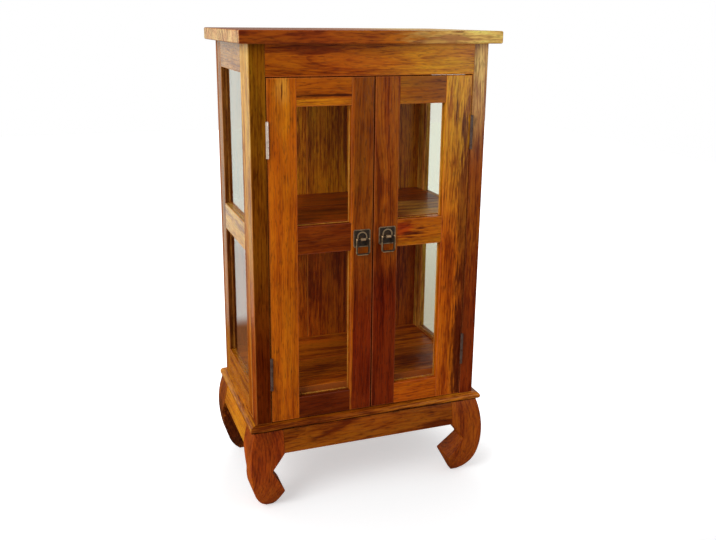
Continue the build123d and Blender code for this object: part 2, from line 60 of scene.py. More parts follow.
camera_place = (-0.5942, -1.6818, 1.0208)
camera_turn_right = 20.299
camera_tilt_down = 15.133
camera_roll = 0.575
camera_lens = 41.33
camera_lowered = -0.0403
film_width = 36.0
nearest_seen = 0.05
farthest_seen = 50.0

camera_data = bpy.data.cameras.new("view_from_front_left")
camera_data.sensor_width = film_width
camera_data.lens = camera_lens
camera_data.shift_y = camera_lowered
camera_data.clip_start = nearest_seen
camera_data.clip_end = farthest_seen
camera = put_in_scene("view_from_front_left", camera_data)
camera.matrix_world = (
    Matrix.Translation(camera_place)
    @ Matrix.Rotation(math.radians(-camera_turn_right), 4, "Z")
    @ Matrix.Rotation(math.radians(90.0 - camera_tilt_down), 4, "X")
    @ Matrix.Rotation(math.radians(camera_roll), 4, "Z")
)
bpy.context.scene.camera = camera


# Top board: one thick slab of red-brown hardwood under a clear satin lacquer, with its rims
# rubbed round. It lies on the posts and side frames. The timber finish made here serves all the wood.
class Finish:
    """One value, colour or vector in a finish. Sums and products of it add their own nodes."""

    def __init__(self, tree, socket):
        self.tree = tree
        self.socket = socket

    def add(self, kind, settings, inputs, output=0):
        """Another node: its settings first, then its inputs, each a number, a colour or a Finish."""
        node = self.tree.nodes.new(kind)
        for name, value in settings.items():
            if name == "stops":
                ramp = node.color_ramp.elements
                ramp[0].position, ramp[0].color = value[0]
                ramp[1].position, ramp[1].color = value[-1]
                for position, colour in value[1:-1]:
                    ramp.new(position).color = colour
            else:
                setattr(node, name, value)
        for name, value in inputs.items():
            if isinstance(value, Finish):
                self.tree.links.new(value.socket, node.inputs[name])
            else:
                node.inputs[name].default_value = value
        return Finish(self.tree, node.outputs[output])

    def combined(self, operation, other, swapped=False):
        """This and another value, in a Math node, or a Vector Math node for vectors and colours."""
        pair = [other, self] if swapped else [self, other]
        plain = all(not isinstance(value, Finish) or value.socket.type == "VALUE" for value in pair)
        plain = plain and not hasattr(other, "__len__")
        node = self.tree.nodes.new("ShaderNodeMath" if plain else "ShaderNodeVectorMath")
        node.operation = operation
        for port, value in zip(node.inputs, pair):
            if isinstance(value, Finish):
                self.tree.links.new(value.socket, port)
            elif plain or hasattr(value, "__len__"):
                port.default_value = value
            else:
                port.default_value = (value, value, value)
        return Finish(self.tree, node.outputs[0])

    def __add__(self, other):
        return self.combined("ADD", other)

    __radd__ = __add__

    def __mul__(self, other):
        return self.combined("MULTIPLY", other)

    __rmul__ = __mul__

    def __sub__(self, other):
        return self.combined("SUBTRACT", other)

    def __rsub__(self, other):
        return self.combined("SUBTRACT", other, swapped=True)

    def __truediv__(self, other):
        return self.combined("DIVIDE", other)

    def smaller(self, other):
        return self.combined("MINIMUM", other)

    def larger(self, other):
        return self.combined("MAXIMUM", other)

    def worked(self, operation):
        """A Math node that needs this number only."""
        return self.add("ShaderNodeMath", {"operation": operation}, {0: self})

    def whole(self):
        return self.worked("FLOOR")

    def size(self):
        return self.worked("ABSOLUTE")

    def root(self):
        return self.worked("SQRT")

    def length(self):
        """How long a vector is."""
        return self.add("ShaderNodeVectorMath", {"operation": "LENGTH"}, {0: self}, output=1)

    def parts(self):
        """The three numbers of a vector."""
        split = self.add("ShaderNodeSeparateXYZ", {}, {0: self})
        return [Finish(self.tree, port) for port in split.socket.node.outputs]

    def rising(self, start, end):
        """0 below start, 1 above end, and a smooth slope between them."""
        ends = {"Value": self, "From Min": start, "From Max": end}
        return self.add("ShaderNodeMapRange", {"interpolation_type": "SMOOTHSTEP"}, ends)

    def noise(self, scale, detail=2.0, roughness=0.5):
        """Cloudy noise from 0 to 1 on this vector."""
        inputs = {"Vector": self, "Scale": scale, "Detail": detail, "Roughness": roughness}
        return self.add("ShaderNodeTexNoise", {}, inputs)

    def between(self, first, second):
        """The first colour where this share is 0, the second where it is 1, and mixed in between."""
        return self.add("ShaderNodeMix", {"data_type": "RGBA"}, {0: self, 6: first, 7: second}, output=2)

    def toward(self, colour, share):
        """This colour, drawn towards another by a share."""
        return share.between(self, colour)

    def bump(self, strength, depth):
        """The slant of a surface that has this height, for a shader's Normal."""
        return self.add("ShaderNodeBump", {}, {"Height": self, "Strength": strength, "Distance": depth})

    def feeds(self, node, port):
        self.tree.links.new(self.socket, node.inputs[port])


def start_finish(name):
    """A new material: its principled shader and its place on the piece, in metres."""
    material = bpy.data.materials.new(name)
    material.use_nodes = True
    tree = material.node_tree
    shader = tree.nodes["Principled BSDF"]
    place = Finish(tree, tree.nodes.new("ShaderNodeTexCoord").outputs["Object"])
    return material, shader, place


def vector(x=0.0, y=0.0, z=0.0):
    """A vector from three numbers, of which at least one comes from the tree."""
    known = next(value for value in (x, y, z) if isinstance(value, Finish))
    return known.add("ShaderNodeCombineXYZ", {}, {0: x, 1: y, 2: z})


def stain(red, green, blue):
    """A colour as the eye sees it, 0 to 255, as the light that a shader takes, by the usual screen curve."""
    light = [value / 255.0 for value in (red, green, blue)]
    return [v / 12.92 if v <= 0.04045 else ((v + 0.055) / 1.055) ** 2.4 for v in light]


def worn_and_highlit_arrises(place, low, high, from_edge=0.0004, to_edge=0.0022):
    """1 on the arrises of a squared piece with these corners, and 0 a little way in."""
    nicks_per_metre = 160.0
    nick_depth = 0.0018
    gaps = []
    for spot, start, end in zip(place.parts(), low, high):
        gaps.append((spot - start).size().smaller((spot - end).size()))
    from_arris = gaps[0].smaller(gaps[1]).larger(gaps[0].larger(gaps[1]).smaller(gaps[2]))
    ragged = from_arris + (place.noise(nicks_per_metre) - 0.5) * nick_depth
    return 1.0 - ragged.rising(from_edge, to_edge)


AXES = {"x": 0, "y": 1, "z": 2}


def timber(
    name,
    low,
    high,
    along,
    face,
    colour,
    pith=(0.09, 0.02),
    lean=0.03,
    ring=0.0042,
    contrast=1.0,
    seed=0.0,
    drift=None,
    marks=(),
    left_face=None,
    two_way=False,
    boards=None,
    dullness=0.26,
    shine=0.11,
):
    """Lacquered hardwood, grained along one axis, with its growth rings round a pith line.

    pith is how far that line lies across the board and behind its face; lean tips it, which draws
    the arched figure. drift is (start, end, colour), a change of tone along the board; each mark is a
    vein, knot or patch, or a painted shadow or painted sheen: (along, across, half length, half width,
    colour); the two tones for the face turned to the left, before and after the drift, are painted
    light, paler as lit by the large lamp, and two_way ends that face at a corner sawn to one curve on
    both sides; boards is (axis, first edge, pitch) for boards side by side; dullness is how rough the
    lacquer is and shine how strongly it mirrors.
    """
    ring_wander, heart_wander, ring_shift, yearly_change = 0.020, 0.014, 0.8, 0.42
    late_starts, late_darkest = 0.55, 0.94
    by_growth, by_fibre, by_broad, by_mottle, by_late = 0.50, 0.75, 0.70, 0.55, 0.12
    middle_of_figure = 0.55
    deeper, paler = (0.50, 0.34, 0.40), (1.32, 1.60, 1.70)
    deep_at, plain_at, pale_at = 0.28, 0.52, 0.76
    next_board_across, next_board_along = 0.037, 0.731
    darkest_board, board_spread = 0.78, 0.46
    drift_wander, mark_wander, mark_fray, mark_rim = 0.12, 0.012, 1.8, (0.45, 1.25)
    pore_dark, fleck_dark = 0.34, 0.40
    greener = (-0.36, 0.12, 0.0)
    corner = (0.0006, 0.0014)
    joint_line, joint_wear = (0.0001, 0.0007), (0.0006, 0.0030)
    arris_paling, arris_paling_lift, arris_paling_share = 1.55, 0.02, 0.42
    dull_clouds, dull_pores, dull_worn = 0.16, 0.10, 0.30
    fibre_height, pore_depth, late_depth = 0.5, 0.6, 0.25
    relief_strength, relief = 0.25, 0.0003

    material, shader, place = start_finish(name)
    centre = [(a + b) / 2 for a, b in zip(low, high)]
    spot = (place - centre).parts()
    across_axis = ({"x", "y", "z"} - {along, face}).pop()
    run, across, depth = spot[AXES[along]], spot[AXES[across_axis]], spot[AXES[face]]
    if boards:
        edge_axis, first_edge, pitch = boards
        from_first_edge = place.parts()[AXES[edge_axis]] - first_edge
        number = (from_first_edge / pitch).whole()
        across_board = from_first_edge - (number + 0.5) * pitch
        across = across_board + number * next_board_across
        run = run + number * next_board_along

    def streaks(lengthwise, crosswise, shift, detail, roughness=0.5):
        """Noise drawn out along the grain, in waves per metre; the shift gives each piece its own."""
        grained = vector(run * lengthwise, across * crosswise, depth * crosswise) + shift
        return grained.noise(1.0, detail, roughness)

    wander = streaks(2.6, 11.0, (seed, 0.0, 0.0), 2.0)
    sway = streaks(5.2, 16.0, (-seed, 4.0, 0.0), 2.0)
    fibre = streaks(24.0, 280.0, (seed, 0.0, 0.0), 3.0, 0.6)
    pores = streaks(44.0, 620.0, (0.0, 0.0, seed), 1.0).rising(0.56, 0.70)
    flecks = streaks(64.0, 360.0, (-seed, 0.0, 0.0), 2.0).rising(0.56, 0.72)
    broad = streaks(4.2, 26.0, (seed, 0.0, 0.0), 3.0, 0.6)
    mottle = streaks(11.0, 22.0, (-seed, 0.0, 0.0), 3.0, 0.6)
    greened = streaks(5.0, 30.0, (0.0, seed, 0.0), 2.0) - 0.5

    sideways = across - pith[0] + (wander - 0.5) * ring_wander
    inward = depth - pith[1] - run * lean + (sway - 0.5) * heart_wander
    rings = (sideways * sideways + inward * inward).root() / ring
    years = {"W": rings * yearly_change + seed, "Scale": 1.0, "Detail": 2.0}
    growth = rings.add("ShaderNodeTexNoise", {"noise_dimensions": "1D"}, years)
    in_ring = (rings + (wander - 0.5) * ring_shift).worked("FRACT")
    late = in_ring.rising(late_starts, late_darkest) * (1.0 - in_ring.rising(late_darkest, 1.0))
    figure = (growth - 0.5) * by_growth + (fibre - 0.5) * by_fibre
    figure = figure + (broad - 0.5) * by_broad + (mottle - 0.5) * by_mottle - late * by_late
    figure = figure * contrast + middle_of_figure

    def body_tone(tone):
        """The wood's own colour: deep red-brown in the dense bands, golden in the open ones."""
        plain = stain(*tone)
        deep = [value * by for value, by in zip(plain, deeper)] + [1.0]
        pale = [min(1.0, value * by) for value, by in zip(plain, paler)] + [1.0]
        stops = [(deep_at, deep), (plain_at, plain + [1.0]), (pale_at, pale)]
        return figure.add("ShaderNodeValToRGB", {"stops": stops}, {0: figure})

    body = body_tone(colour)
    # The face turned to the left gets paler tones of its own: painted light, as lit by the large lamp.
    lamp_lit_left_body = body_tone(left_face[0]) if left_face else None
    if drift:
        start, end, other = drift
        share = (spot[AXES[along]] + (wander - 0.5) * drift_wander).rising(min(start, end), max(start, end))
        share = share if end > start else 1.0 - share
        body = body.toward(body_tone(other), share)
        if left_face:
            lamp_lit_left_body = lamp_lit_left_body.toward(body_tone(left_face[1]), share)
    # Each mark is a vein, knot or patch of the wood, or on some pieces a painted shadow or painted sheen.
    for middle_run, middle_across, half_length, half_width, tone in marks:
        off_run = (run - middle_run) / half_length
        off_across = (across - middle_across + (wander - 0.5) * mark_wander) / half_width
        reach = (off_run * off_run + off_across * off_across).root() + (fibre - 0.5) * mark_fray
        body = body.toward(body_tone(tone), 1.0 - reach.rising(*mark_rim))
    if left_face:
        from_left = place.parts()[0] - low[0]
        if two_way:
            from_left = from_left - (place.parts()[1] - low[1])
        body = lamp_lit_left_body.toward(body, from_left.rising(*corner))
    if boards:
        own = number.add("ShaderNodeTexWhiteNoise", {"noise_dimensions": "1D"}, {"W": number + seed})
        body = body * (darkest_board + own * board_spread)
    body = body * ((1.0 - pores * pore_dark) * (1.0 - flecks * fleck_dark))
    body = body * (greened * greener + (1.0, 1.0, 1.0))
    # Arrises painted paler: partly real wear, partly a painted highlight.
    worn_and_highlit = worn_and_highlit_arrises(place, low, high)
    if boards:
        from_joint = pitch / 2 - across_board.size()
        worn_and_highlit = worn_and_highlit.larger(1.0 - from_joint.rising(*joint_wear))
        body = body * from_joint.rising(*joint_line)
    worn_and_highlit_tone = [min(1.0, value * arris_paling + arris_paling_lift) for value in stain(*colour)] + [1.0]
    body.toward(worn_and_highlit_tone, worn_and_highlit * arris_paling_share).feeds(shader, "Base Color")
    rough = dullness + (broad - 0.5) * dull_clouds + pores * dull_pores + worn_and_highlit * dull_worn
    rough.feeds(shader, "Roughness")
    height = fibre * fibre_height - pores * pore_depth - late * late_depth
    height.bump(relief_strength, relief).feeds(shader, "Normal")
    shader.inputs["Specular IOR Level"].default_value = shine
    return material


def body_of(node):
    """The moving part that a CAD piece belongs to."""
    return next(name for name, nodes in frame["record"]["behaviour"]["bodies"].items() if node in nodes)


def slot_of(node):
    return next(part["material_slot"] for part in frame["record"]["subparts"] if part["node"] == node)


def dressed(node, material):
    """Gives a CAD piece that keeps its own shape this finish."""
    mesh = frame["nodes"][node].data
    mesh.materials.clear()
    mesh.materials.append(material)


def stand_in_for(node, mesh, material):
    """A finished mesh that takes a CAD piece's place and moves with its body."""
    mesh.materials.clear()
    mesh.materials.append(material)
    piece = put_in_scene(node + "_finished", mesh)
    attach(piece, body_of(node))
    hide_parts(node)
    slot_of(node)


def settled(piece):
    """The plain mesh of a piece after its modifiers; the working piece is removed."""
    bpy.context.view_layer.update()
    mesh = bpy.data.meshes.new_from_object(piece.evaluated_get(bpy.context.evaluated_depsgraph_get()))
    bpy.data.objects.remove(piece)
    return mesh


def rubbed(node, width):
    """A CAD piece's shape with its loose triangles merged and its arrises rubbed round."""
    one_point = 0.000002
    flat_within = math.radians(0.6)
    arris_over = math.radians(28.0)
    work = bmesh.new()
    work.from_mesh(frame["nodes"][node].data)
    bmesh.ops.remove_doubles(work, verts=work.verts, dist=one_point)
    bmesh.ops.dissolve_limit(work, angle_limit=flat_within, verts=work.verts, edges=work.edges)
    mesh = bpy.data.meshes.new(node + "_rubbed")
    work.to_mesh(mesh)
    work.free()
    for layer in ("custom_normal", "sharp_edge", "sharp_face"):
        if layer in mesh.attributes:
            mesh.attributes.remove(mesh.attributes[layer])
    mesh.shade_smooth()
    mesh.set_sharp_from_angle(angle=arris_over)
    piece = put_in_scene(node + "_rubbed", mesh)
    rounding = piece.modifiers.new("rounding", "BEVEL")
    rounding.width = width
    rounding.segments = 2
    rounding.limit_method = "ANGLE"
    rounding.angle_limit = arris_over
    rounding.use_clamp_overlap = True
    even = piece.modifiers.new("even_shading", "WEIGHTED_NORMAL")
    even.keep_sharp = False
    return settled(piece)


def wooden(node, along, face, colour, rounding=0.0007, **figure):
    """Finishes one piece of the cabinet as a board of its own, its arrises rubbed round."""
    mesh = rubbed(node, rounding)
    stand_in_for(node, mesh, timber(node + "_wood", *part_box(node), along, face, colour, **figure))


# The slab is painted paler and more golden towards its right end, partly a painted sheen; its left end is painted
# pale, painted light and painted reflection of the large lamp and the bright backdrop.
wooden(
    "top_board", "x", "z", (134, 55, 2), pith=(0.06, -0.05), lean=0.05, seed=3.1,
    drift=(-0.14, 0.06, (162, 80, 3)), marks=((0.23, 0.0, 0.16, 0.60, (238, 192, 98)),),
    left_face=((210, 160, 104),) * 2, contrast=1.3, dullness=0.42, shine=0.08,
)


# Front posts and the rail above the doors: squared lengths of the same hardwood, each from its own
# board, tenoned together. The left post is darker and turns maroon towards its foot.
# The left post's left face is painted paler: painted light, as lit by the large lamp.
wooden(
    "left_front_post", "z", "y", (126, 71, 6), pith=(0.07, 0.03), lean=0.02, seed=11.4,
    drift=(0.34, -0.30, (86, 26, 1)), left_face=((203, 149, 72), (151, 63, 4)), contrast=1.2, shine=0.02,
)
# The right post's paler golden top is partly a painted sheen.
wooden(
    "right_front_post", "z", "y", (138, 62, 4), pith=(-0.05, 0.04), lean=0.03, seed=17.2,
    drift=(0.12, 0.34, (206, 156, 84)), marks=((-0.30, 0.0, 0.30, 0.20, (112, 36, 2)),), contrast=1.3,
)
# The rail's more golden right end is partly a painted sheen.
wooden(
    "front_top_rail", "x", "y", (154, 69, 1), pith=(0.004, -0.023), lean=0.08, seed=5.7,
    drift=(-0.04, 0.16, (194, 118, 8)), marks=((-0.14, 0.022, 0.11, 0.012, (120, 44, 2)),), contrast=1.2,
)


# Glazed sides: on each side a frame of two stiles and three rails, tenoned together. The light comes from
# the left. The left frame's paler, more golden tones are partly the wood's own and partly painted light
# from the lamp on that side and a painted sheen; the outer face of its back stile is painted paler, as lit.
# The right frame's back stile is painted golden, as lit through the panes by the lamp on the left.
side_tones_with_painted_light = {
    "front_stile": ((210, 153, 80), (170, 96, 20)),
    "back_stile": ((110, 58, 16), (214, 146, 52)),
    "top_rail": ((172, 112, 56), (150, 84, 16)),
    "middle_rail": ((198, 136, 60), (164, 90, 18)),
    "bottom_rail": ((170, 90, 8), (160, 88, 16)),
}
left_drifts = {"front_stile": (0.34, -0.12, (170, 88, 12)), "back_stile": (-0.02, -0.22, (100, 50, 10))}
left_back_stile_lit_face = ((160, 98, 44), (178, 104, 22))
# The left front stile's sheen is painted into its tone, so it hardly mirrors.
rail_shine, stile_shine, left_front_shine = 0.15, 0.05, 0.01
for part, tones in side_tones_with_painted_light.items():
    for side, tone, shift in zip(("left", "right"), tones, (0.0, 6.3)):
        node = side + "_side_" + part
        along, shine = ("z", stile_shine) if part.endswith("stile") else ("y", rail_shine)
        wooden(
            node, along, "x", tone, pith=(0.05, 0.03), lean=0.04, contrast=1.4,
            drift=left_drifts.get(part) if side == "left" else None,
            left_face=left_back_stile_lit_face if node == "left_side_back_stile" else None,
            shine=left_front_shine if node == "left_side_front_stile" else shine,
            seed=len(part) * 1.9 + shift,
        )


# Glazing beads: thin mitred strips of the same lacquered wood, four round every pane, pinned into the
# frame behind the glass to hold it.
for node in ("left_side_beads", "right_side_beads", "left_door_beads", "right_door_beads"):
    face = "y" if "door" in node else "x"
    wood = timber(
        node + "_wood", *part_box(node), "z", face, (226, 142, 58), pith=(0.4, 0.2), lean=0.0, seed=8.8
    )
    dressed(node, wood)


# Panes: clear float glass, three millimetres thick and slightly green. Each stands in the rebate of its
# frame with a little room all round, and its beads keep it there.
def known_rays(tree):
    """What is known of the ray of light that meets a surface: its kind and how often it has turned."""
    node = tree.nodes.new("ShaderNodeLightPath")
    return {port.name: Finish(tree, port) for port in node.outputs}


def pane_glass():
    """Clear glass that bends and mirrors what is seen in it, and lets lamp light straight through."""
    green_tint, lamp_tint = (0.93, 0.98, 0.95, 1.0), (0.93, 0.96, 0.94, 1.0)
    dust_reach, dust_haze = (0.45, 0.8), 0.03
    material, shader, place = start_finish("pane_glass")
    shader.inputs["Base Color"].default_value = green_tint
    shader.inputs["Transmission Weight"].default_value = 1.0
    shader.inputs["IOR"].default_value = 1.52
    dust = place.noise(14.0, 3.0)
    (dust.rising(*dust_reach) * dust_haze).feeds(shader, "Roughness")
    clear = place.add("ShaderNodeBsdfTransparent", {}, {"Color": lamp_tint})
    ray = known_rays(place.tree)
    lamp_light = ray["Is Shadow Ray"].larger(ray["Is Diffuse Ray"])
    bent = Finish(place.tree, shader.outputs[0])
    blend = lamp_light.add("ShaderNodeMixShader", {}, {0: lamp_light, 1: bent, 2: clear})
    blend.feeds(place.tree.nodes["Material Output"], "Surface")
    return material


glass = pane_glass()
pane_nodes = ("left_side_panes", "right_side_panes", "left_door_panes", "right_door_panes")
for node in pane_nodes:
    dressed(node, glass)


# Back: five upright boards, tongued and grooved, and the two rails they are nailed to. Thinly
# lacquered, so duller than the outside.
back_board_count = 5
low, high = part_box("back_boards")
back_wood = timber(
    "back_boards_wood", low, high, "z", "y", (194, 104, 8), pith=(0.0, -0.03), lean=0.02, seed=2.2,
    boards=("x", low[0], (high[0] - low[0]) / back_board_count), drift=(0.06, -0.10, (182, 78, 4)),
    contrast=1.7, dullness=0.36,
)
dressed("back_boards", back_wood)
wooden("back_rails", "x", "y", (132, 70, 18), seed=4.0, dullness=0.42)


# Shelf and floor: two boards each, laid side by side on bearers that are screwed to the side frames, and
# lacquered as thinly as the back. Towards the right the shelf grows paler and the floor darker.
level_board_count = 2
for node, tone, seed, right_end in (
    ("shelf_boards", (162, 66, 4), 6.1, (212, 140, 60)), ("floor_boards", (200, 94, 6), 9.6, (178, 82, 6)),
):
    low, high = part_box(node)
    wood = timber(
        node + "_wood", low, high, "x", "z", tone, pith=(0.05, -0.05), lean=0.03, seed=seed,
        boards=("y", low[1], (high[1] - low[1]) / level_board_count),
        marks=((0.20, 0.02, 0.14, 0.60, right_end),), contrast=1.6, dullness=0.34,
    )
    dressed(node, wood)
wooden("board_bearers", "y", "x", (124, 64, 14), seed=1.3, dullness=0.45)


# Plinth moulding: a half-round nose worked on the edge of a flat strip, run round three sides of the
# cabinet and mitred at its two front corners. Lacquered like the rest; the runs at the sides are paler,
# the left one partly as painted light from the lamp on that side. A dark strip along the foot of the
# nose is painted shade.
def start_shape(name, sizes):
    """A new geometry tree with these named sizes, each of its own kind, and the sizes inside it."""
    tree = bpy.data.node_groups.new(name, "GeometryNodeTree")
    for label, kind in sizes.items():
        tree.interface.new_socket(label, in_out="INPUT", socket_type=kind)
    tree.interface.new_socket("Shape", in_out="OUTPUT", socket_type="NodeSocketGeometry")
    entry = tree.nodes.new("NodeGroupInput")
    return tree, {port.name: Finish(tree, port) for port in entry.outputs if port.name in sizes}


def end_shape(shape, material):
    """Makes every repeat real, gives it its finish, and closes the tree."""
    real = shape.add("GeometryNodeRealizeInstances", {}, {0: shape})
    coated = real.add("GeometryNodeSetMaterial", {}, {"Geometry": real, "Material": material})
    leave = shape.tree.nodes.new("NodeGroupOutput")
    coated.feeds(leave, "Shape")


def shaped(tree, values, points=()):
    """The plain mesh that a tree makes from these sizes, and from loose points where it takes any."""
    start = bpy.data.meshes.new(tree.name)
    start.from_pydata(points, [], [])
    piece = put_in_scene(tree.name, start)
    work = piece.modifiers.new("shape", "NODES")
    work.node_group = tree
    for item in tree.interface.items_tree:
        if item.in_out == "INPUT" and item.name in values:
            work[item.identifier] = values[item.name]
    return settled(piece)


def moved(shape, **how):
    """A shape moved, turned or stretched, by its Translation, Rotation or Scale."""
    return shape.add("GeometryNodeTransform", {}, {"Geometry": shape} | how)


def joined(*shapes):
    """Several shapes as one."""
    whole = shapes[0].add("GeometryNodeJoinGeometry", {}, {})
    for shape in shapes:
        shape.feeds(whole.socket.node, 0)
    return whole


def chosen(index, test, count, passed, failed):
    """One place for the points whose number passes a test against a count, and another for the rest."""
    answer = index.add("FunctionNodeCompare", {"data_type": "INT", "operation": test}, {2: index, 3: count})
    places = {0: answer, "False": failed, "True": passed}
    return answer.add("GeometryNodeSwitch", {"input_type": "VECTOR"}, places)


def moulding_shape(material):
    """A run of half-round moulding: x along it, y out from the carcass, each end cut on a slope."""
    number, place = "NodeSocketFloat", "NodeSocketVector"
    tree, size = start_shape(
        "moulding_run",
        {
            "Start": number, "Start slope": number, "End": number, "End slope": number, "Nose": number,
            "Inside": number, "Thickness": number, "Foot": number, "Turn": number, "Corner": place,
        },
    )
    nose_points = 17
    quarter_turn = math.pi / 2
    one_point = 0.00001
    radius, foot = size["Thickness"] * 0.5, size["Foot"]
    line = radius.add("GeometryNodeMeshLine", {}, {"Count": nose_points + 2})
    index = radius.add("GeometryNodeInputIndex", {}, {})
    angle = index * (math.pi / (nose_points - 1))
    out = size["Nose"] - radius + angle.worked("SINE") * radius
    round_part = vector(y=out, z=foot + radius + angle.worked("COSINE") * radius)
    inner = vector(y=size["Inside"] * -1.0, z=foot + size["Thickness"])
    lower = vector(y=size["Inside"] * -1.0, z=foot)
    flat_part = chosen(index, "EQUAL", nose_points, lower, inner)
    spot = chosen(index, "LESS_THAN", nose_points, round_part, flat_part)
    profile = line.add("GeometryNodeSetPosition", {}, {"Geometry": line, "Position": spot})
    profile = profile.add("GeometryNodeMeshToCurve", {}, {0: profile})
    profile = profile.add("GeometryNodeSetSplineCyclic", {}, {"Geometry": profile, "Cyclic": True})
    lying = moved(profile, Rotation=(0.0, quarter_turn, 0.0))
    flat = lying.add("GeometryNodeFillCurve", {}, {0: lying})
    upright = moved(flat, Rotation=(0.0, -quarter_turn, 0.0))
    along = upright.add("ShaderNodeCombineXYZ", {}, {0: 1.0})
    one_metre = {"Mesh": upright, "Offset": along, "Offset Scale": 1.0, "Individual": False}
    run = upright.add("GeometryNodeExtrudeMesh", {}, one_metre)
    back_face = upright.add("GeometryNodeFlipFaces", {}, {0: upright})
    closed = joined(run, back_face)
    closed = closed.add("GeometryNodeMergeByDistance", {}, {"Geometry": closed, "Distance": one_point})
    share, out, height = closed.add("GeometryNodeInputPosition", {}, {}).parts()
    start = size["Start"] + size["Start slope"] * out
    end = size["End"] + size["End slope"] * out
    cut = vector(start + (end - start) * share, out, height)
    cut = closed.add("GeometryNodeSetPosition", {}, {"Geometry": closed, "Position": cut})
    placed = moved(cut, Translation=size["Corner"], Rotation=vector(z=size["Turn"]))
    outward = placed.add("GeometryNodeFlipFaces", {}, {0: placed})
    smooth = outward.add("GeometryNodeSetShadeSmooth", {}, {"Geometry": outward, "Shade Smooth": True})
    end_shape(smooth, material)
    return tree


front_low, front_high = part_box("front_moulding")
left_low, left_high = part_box("left_moulding")
carcass_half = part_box("right_front_post")[1][0]
carcass_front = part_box("left_front_post")[0][1]
carcass_back = left_high[1]
front_nose = carcass_front - front_low[1]
side_nose = -carcass_half - left_low[0]
inside = front_high[1] - carcass_front
side_slope = (inside + front_nose) / (inside + side_nose)
front_slope = (inside + side_nose) / (inside + front_nose)
strip = {"Inside": inside, "Thickness": front_high[2] - front_low[2], "Foot": front_low[2]}
mouldings = {
    "front_moulding": {
        "Start": -carcass_half - side_nose + front_slope * front_nose, "Start slope": -front_slope,
        "End": carcass_half + side_nose - front_slope * front_nose, "End slope": front_slope,
        "Nose": front_nose, "Turn": math.pi, "Corner": (0.0, carcass_front, 0.0),
    },
    "left_moulding": {
        "Start": carcass_front - front_nose + side_slope * side_nose, "Start slope": -side_slope,
        "End": carcass_back, "End slope": 0.0,
        "Nose": side_nose, "Turn": math.pi / 2, "Corner": (-carcass_half, 0.0, 0.0),
    },
    "right_moulding": {
        "Start": -carcass_back, "Start slope": 0.0,
        "End": -carcass_front + front_nose - side_slope * side_nose, "End slope": side_slope,
        "Nose": side_nose, "Turn": -math.pi / 2, "Corner": (carcass_half, 0.0, 0.0),
    },
}
moulding_tones = {
    "front_moulding": (134, 62, 6), "left_moulding": (192, 110, 16), "right_moulding": (150, 84, 16),
}
# A dark strip along the foot of the nose: painted shade under its round.
painted_shadow_line = (0.0, -0.0072, 3.0, 0.0040, (58, 22, 3))
nose_corner = math.radians(35.0)
for number, (node, run_sizes) in enumerate(mouldings.items()):
    along, face, drift = "y", "x", None
    if node == "front_moulding":
        along, face, drift = "x", "y", (-0.02, 0.20, (176, 100, 18))
    wood = timber(
        node + "_wood", *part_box(node), along, face, moulding_tones[node], pith=(0.05, 0.03), lean=0.04,
        seed=12.6 + number, drift=drift, marks=(painted_shadow_line,), contrast=1.6,
    )
    mesh = shaped(moulding_shape(wood), run_sizes | strip)
    mesh.set_sharp_from_angle(angle=nose_corner)
    stand_in_for(node, mesh, wood)


# Aprons: hardwood boards between the legs, under the moulding. The front and side ones are sawn and
# smoothed to the same swelling curve as the legs; the one at the back is plain.
wooden("front_apron", "x", "y", (132, 60, 3), pith=(0.0, 0.045), lean=0.05, contrast=1.5, seed=15.8)
# The left apron's paler, more golden tone is partly painted light from the lamp on that side.
wooden("left_apron", "y", "x", (200, 118, 14), pith=(0.03, 0.04), lean=0.04, seed=16.2)
wooden("right_apron", "y", "x", (150, 80, 18), pith=(0.03, 0.04), lean=0.04, seed=17.7)
wooden("back_apron", "x", "y", (130, 66, 16), pith=(0.03, 0.04), lean=0.04, seed=18.3)


# Opium legs: each sawn on two faces from one thick block, swelling out and then turning in to its foot,
# its corners rubbed round by hand.
leg_rounding = 0.0012
leg_tones = {
    "left_front_leg": (144, 57, 3), "right_front_leg": (146, 63, 2), "left_back_leg": (152, 72, 8),
    "right_back_leg": (128, 58, 8),
}
# The left front leg's left face is painted paler, painted light where the large lamp falls; the left back leg
# carries a dark patch of painted shade on its inner face.
leg_painted_light_and_shade = {
    "left_front_leg": {"left_face": ((182, 80, 4), (142, 57, 2)), "drift": (0.045, 0.085, (134, 52, 2))},
    "left_back_leg": {"marks": ((-0.035, -0.008, 0.080, 0.060, (84, 32, 4)),)},
}
for number, (node, tone) in enumerate(leg_tones.items()):
    wooden(
        node, "z", "y", tone, rounding=leg_rounding, pith=(0.05, 0.04), lean=0.08, dullness=0.36, shine=0.10,
        seed=20.0 + number * 3.7, two_way=True, **leg_painted_light_and_shade.get(node, {}),
    )
